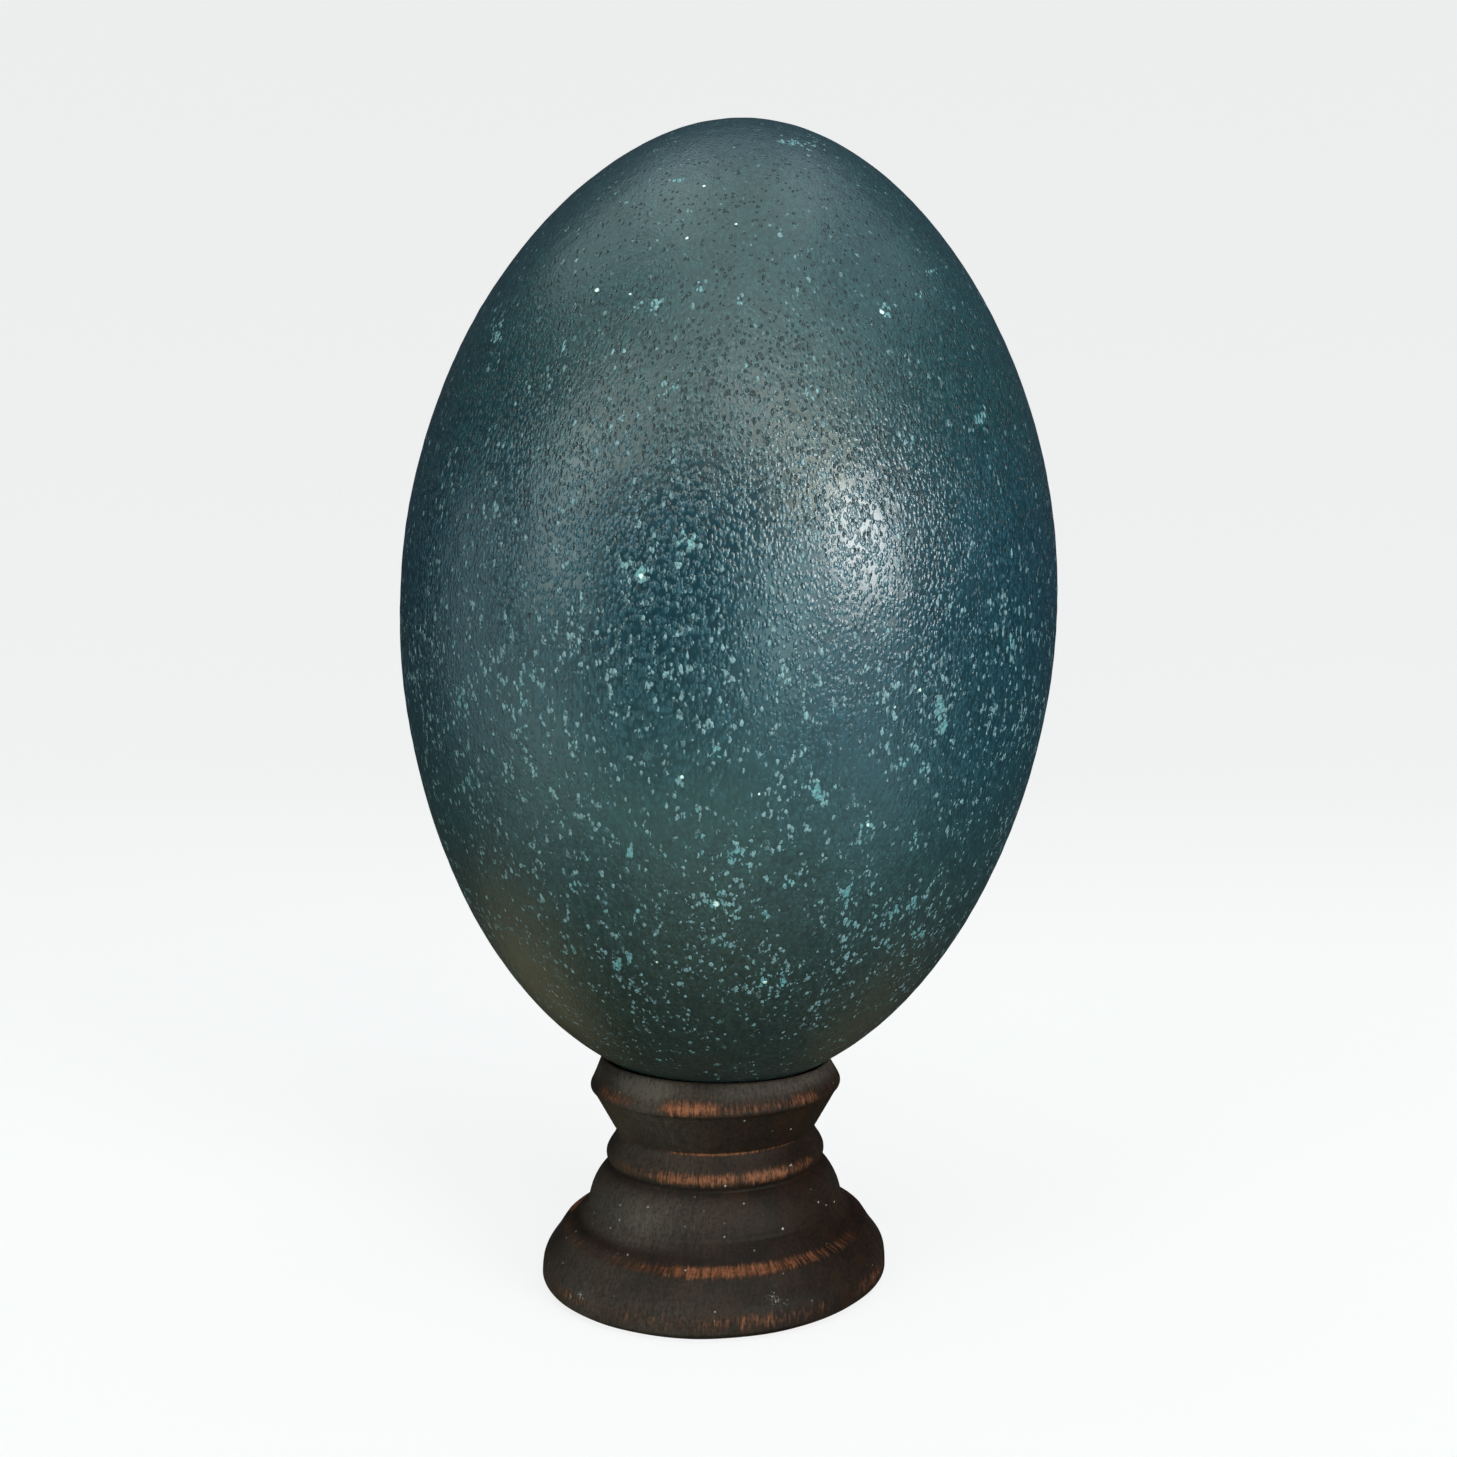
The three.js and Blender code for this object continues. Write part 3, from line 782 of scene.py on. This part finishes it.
def standMaterial():
    material, tree = newMaterial("stainedTurnedHardwood")
    place = addNode(tree, "TexCoord")
    inStand = addNode(tree, "Mapping", {        # millimetres
        "Vector": place.outputs["Object"], "Scale": (1 / mm,) * 3,
    }).outputs[0]
    # streaks run up the surface: they depend on the way round, and much less on the height
    outward = addNode(tree, "VectorMath", {0: inStand, 1: (1, 1, 0)}, operation="MULTIPLY").outputs[0]
    outward = addNode(tree, "VectorMath", {0: outward}, operation="NORMALIZE").outputs[0]
    upward = addNode(tree, "VectorMath", {
        0: inStand, 1: (0, 0, wood["poreLength"]),
    }, operation="MULTIPLY").outputs[0]
    upright = addNode(tree, "VectorMath", {
        0: outward, 1: (stand["seatRadius"],) * 3, 2: upward,
    }, operation="MULTIPLY_ADD").outputs[0]
    pores = addNode(tree, "TexNoise", {
        "Vector": upright, "Scale": wood["pores"], "Detail": 3.0, "Roughness": 0.7,
    }).outputs[0]
    patchy = addNode(tree, "TexNoise", {
        "Vector": inStand, "Scale": wood["patches"], "Detail": 3.0, "Roughness": 0.6,
    }).outputs[0]
    fine = addNode(tree, "TexNoise", {
        "Vector": inStand, "Scale": wood["mottling"], "Detail": 3.0, "Roughness": 0.7,
    }).outputs[0]

    # stain, mottled with brown where it has taken less well
    mottle = addNode(tree, "Math", {0: patchy, 1: fine}, operation="ADD").outputs[0]
    low, high = wood["brownPatches"]
    mottle = addNode(tree, "MapRange", {"Value": mottle, "From Min": low, "From Max": high}).outputs[0]
    colour = addNode(tree, "Mix", {
        0: mottle, 6: hexColour(wood["stain"]), 7: hexColour(wood["stainBrown"]),
    }, data_type="RGBA").outputs[2]

    # a grey film of dust and old wax, spread as painted light: lighter on one side and the rounded bands,
    # darker in the creases
    dusty = addNode(tree, "Attribute", attribute_name="dusty").outputs["Fac"]
    cloud = addNode(tree, "Math", {0: fine, 1: pores}, operation="ADD").outputs[0]
    low, high, least, most = wood["filmClouds"]
    cloud = addNode(tree, "MapRange", {
        "Value": cloud, "From Min": low, "From Max": high, "To Min": least, "To Max": most,
    }).outputs[0]
    film = addNode(tree, "Math", {0: dusty, 1: cloud}, operation="MULTIPLY", use_clamp=True).outputs[0]
    colour = addNode(tree, "Mix", {
        0: film, 6: colour, 7: hexColour(wood["film"]),
    }, data_type="RGBA").outputs[2]

    # rubbed wood: the streaks decide where the stain gives way first
    rubbed = addNode(tree, "Attribute", attribute_name="rubbed").outputs["Fac"]
    low, high, least, most = wood["streaks"]
    drawn = addNode(tree, "MapRange", {
        "Value": pores, "From Min": low, "From Max": high, "To Min": least, "To Max": most,
    }, clamp=False).outputs[0]
    level = addNode(tree, "Math", {0: rubbed, 1: drawn}, operation="ADD").outputs[0]
    low, high = wood["wornThrough"]
    worn = addNode(tree, "MapRange", {"Value": level, "From Min": low, "From Max": high}).outputs[0]
    low, high = wood["wornEdge"]
    edge = addNode(tree, "MapRange", {"Value": rubbed, "From Min": low, "From Max": high}).outputs[0]
    worn = addNode(tree, "Math", {0: worn, 1: edge}, operation="MULTIPLY").outputs[0]
    low, high, more = wood["freshStreaks"]
    spread = addNode(tree, "Math", {0: fine, 1: more, 2: level}, operation="MULTIPLY_ADD").outputs[0]
    streak = addNode(tree, "MapRange", {"Value": spread, "From Min": low, "From Max": high}).outputs[0]
    fresh = addNode(tree, "Mix", {
        0: streak, 6: hexColour(wood["bareDark"]), 7: hexColour(wood["bareWood"]),
    }, data_type="RGBA").outputs[2]
    colour = addNode(tree, "Mix", {0: worn, 6: colour, 7: fresh}, data_type="RGBA").outputs[2]

    # grains of dust and a few scuffs
    grain = addNode(tree, "TexVoronoi", {"Vector": inStand, "Scale": wood["specks"]})
    luck = addNode(tree, "SeparateXYZ", {0: grain.outputs["Color"]})
    low, least, most = wood["speckSize"]
    size = addNode(tree, "MapRange", {
        "Value": luck.outputs["X"], "From Min": low, "To Min": least, "To Max": most,
    }).outputs[0]
    inside = addNode(tree, "Math", {0: size, 1: grain.outputs["Distance"]}, operation="SUBTRACT").outputs[0]
    low, high = wood["speckSoft"]
    speck = addNode(tree, "MapRange", {"Value": inside, "From Min": low, "From Max": high}).outputs[0]
    scuffed = addNode(tree, "Attribute", attribute_name="scuffed").outputs["Fac"]
    fibres = addNode(tree, "TexNoise", {
        "Vector": inStand, "Scale": wood["fibres"], "Detail": 2.0, "Distortion": 2.5,
    }).outputs[0]
    low, high, more = wood["scuffSoft"]
    scuff = addNode(tree, "Math", {0: scuffed, 1: more, 2: fibres}, operation="MULTIPLY_ADD").outputs[0]
    scuff = addNode(tree, "MapRange", {"Value": scuff, "From Min": low, "From Max": high}).outputs[0]
    speck = addNode(tree, "Math", {0: speck, 1: scuff}, operation="MAXIMUM").outputs[0]
    speck = addNode(tree, "Math", {0: speck, 1: wood["speckStrength"]}, operation="MULTIPLY").outputs[0]
    colour = addNode(tree, "Mix", {
        0: speck, 6: colour, 7: hexColour(wood["dust"]),
    }, data_type="RGBA").outputs[2]

    gloss = addNode(tree, "MapRange", {
        "Value": worn, "To Min": wood["roughness"], "To Max": wood["rubbedRoughness"],
    }).outputs[0]
    relief = addNode(tree, "Math", {0: pores, 1: fine}, operation="ADD").outputs[0]
    relief = addNode(tree, "Math", {0: relief, 1: wood["poreDepth"]}, operation="MULTIPLY").outputs[0]
    bump = addNode(tree, "Bump", {"Height": relief, "Strength": 1.0, "Distance": mm})
    surface = addNode(tree, "BsdfPrincipled", {
        "Base Color": colour,
        "Roughness": gloss,
        "Normal": bump.outputs[0],
        "IOR": wood["indexOfRefraction"],
    })
    addNode(tree, "OutputMaterial", {"Surface": surface.outputs[0]})
    return material


print("stand")
makeStand()

# The stage: a pale floor that curves up into a round backdrop. Only the camera sees it.
stage = {
    "flat": 900.0,
    "radius": 2600.0,
    "rise": 3200.0,
    "glow": 0.94,           # most of its light is its own, so that it is evenly pale
    "paint": "#f0f0f0",
    "base": "#5c5c5c",      # and the rest comes from the lights
    "roughness": 0.9,
    "bendSteps": 24,
    "around": 96,
}


# Its mesh is a flat, a quarter of a circle and a wall, carried round.
def makeStage():
    reach = stage["radius"] - stage["flat"]
    bend = np.linspace(0, math.pi / 2, stage["bendSteps"])
    curve = np.stack([stage["flat"] + reach * np.sin(bend), reach * (1 - np.cos(bend))], 1)
    inner, top = [[0, 0], [stage["flat"] / 2, 0]], [[stage["radius"], stage["rise"]]]
    profile = np.concatenate([inner, curve, top])
    points, quads = turnedGrid(profile, stage["around"])
    first, quads = closedPoles(points, quads[:, ::-1])
    item = putMesh("backdrop", points.reshape(-1, 3)[first] * mm, quads)
    material, tree = newMaterial("palePaintedFloor")
    paint = addNode(tree, "BsdfPrincipled", {
        "Base Color": hexColour(stage["base"]),
        "Roughness": stage["roughness"],
        "Emission Color": hexColour(stage["paint"]),
        "Emission Strength": stage["glow"],
    })
    addNode(tree, "OutputMaterial", {"Surface": paint.outputs[0]})
    item.data.materials.append(material)
    item.visible_diffuse = item.visible_glossy = False
    item.visible_transmission = item.visible_shadow = False


makeStage()
print("stage")

# Soft studio lights, as seen from the egg's middle: degrees to the right, degrees up, distance and size
# in metres, watts, colour.
lights = {
    "ceiling": (0, 80, 1.4, (1.0, 1.0), 4.4, "#ecfffa"),
    "ceilingLeft": (-100, 62, 1.4, (0.8, 0.9), 2.8, "#e6fffe"),
    "ceilingRight": (95, 62, 1.4, (0.8, 0.9), 2.0, "#dcf4ff"),
    "wallHigh": (-5, 55, 1.3, (1.3, 0.45), 3.2, "#e9fffc"),
    "wallMiddle": (5, 38, 1.3, (0.6, 0.45), 4.1, "#fbfff6"),
    "wallLeft": (-42, 34, 1.3, (0.7, 0.5), 3.4, "#f7ffec"),
    "wallRight": (50, 45, 1.3, (0.5, 0.5), 1.5, "#dcfbff"),
    "window": (41, 12, 1.1, (0.4, 0.36), 9.2, "#fcfffe"),
    "windowTop": (27, 25, 1.2, (0.45, 0.4), 3.9, "#faffe4"),
    "windowWall": (40, 2, 1.2, (0.8, 0.8), 3.4, "#bcf0ff"),
    "rightWall": (80, 12, 1.2, (0.5, 0.5), 0.3, "#a8f4ff"),
    "doorway": (14, -4, 1.2, (0.35, 0.6), 3.6, "#ccfcff"),
    "sideWall": (-58, 16, 1.2, (0.5, 0.7), 4.3, "#e4fffc"),
    "sideEdge": (-95, 0, 1.2, (0.5, 0.8), 1.4, "#d4f6ff"),
    "tableLeft": (-66, -20, 1.2, (0.6, 0.5), 2.2, "#dcfff6"),
    "tableRight": (54, -31, 1.2, (0.7, 0.45), 2.0, "#ccfcff"),
    "tableFront": (-16, -38, 1.2, (1.3, 0.4), 2.8, "#d4ffe2"),
    "tableWarm": (0, -58, 1.2, (1.3, 0.5), 1.0, "#ffdf9c"),
    "ceilingBack": (180, 70, 1.3, (1.0, 0.4), 0.8, "#dcf0ff"),
    "tableBackRight": (130, -48, 1.2, (1.0, 0.5), 0.28, "#ffd898"),
    "tableBack": (-120, -40, 1.2, (1.0, 0.5), 0.8, "#ffedb4"),
}


def makeLights():
    middle = Matrix.Translation((0, 0, egg["centre"][2] * mm))
    for name, (turn, up, away, size, watts, colour) in lights.items():
        data = bpy.data.lights.new(name, "AREA")
        data.shape = "RECTANGLE"
        data.size, data.size_y = size
        data.energy = watts
        data.color = hexColour(colour)[:3]
        lamp = bpy.data.objects.new(name, data)
        bpy.context.scene.collection.objects.link(lamp)
        swing = Matrix.Rotation(math.radians(turn), 4, "Z")
        lift = Matrix.Rotation(math.radians(90 - up), 4, "X")
        lamp.matrix_world = middle @ swing @ lift @ Matrix.Translation((0, 0, away))
        lamp.visible_camera = False


# The room round the lights: dim, and a little warmer below.
room = {"above": "#3a3a50", "level": "#2a2a30", "below": "#2c241a", "blend": 0.8, "strength": 1.0}


def makeRoom():
    world = bpy.data.worlds.new("room")
    world.use_nodes = True
    tree = world.node_tree
    tree.nodes.clear()
    place = addNode(tree, "TexCoord")
    height = addNode(tree, "SeparateXYZ", {0: place.outputs["Generated"]})
    share = addNode(tree, "MapRange", {
        "Value": height.outputs["Z"], "From Min": -room["blend"], "From Max": room["blend"],
    })
    stops = [(at, hexColour(room[name])) for at, name in ((0, "below"), (0.5, "level"), (1, "above"))]
    ramp = addNode(tree, "ValToRGB", {"Fac": share.outputs[0]}, stops)
    glow = addNode(tree, "Background", {"Color": ramp.outputs[0], "Strength": room["strength"]})
    addNode(tree, "OutputWorld", {"Surface": glow.outputs[0]})
    bpy.context.scene.world = world


makeLights()
makeRoom()
bpy.context.scene.view_settings.view_transform = "Standard"
print("lights and room")
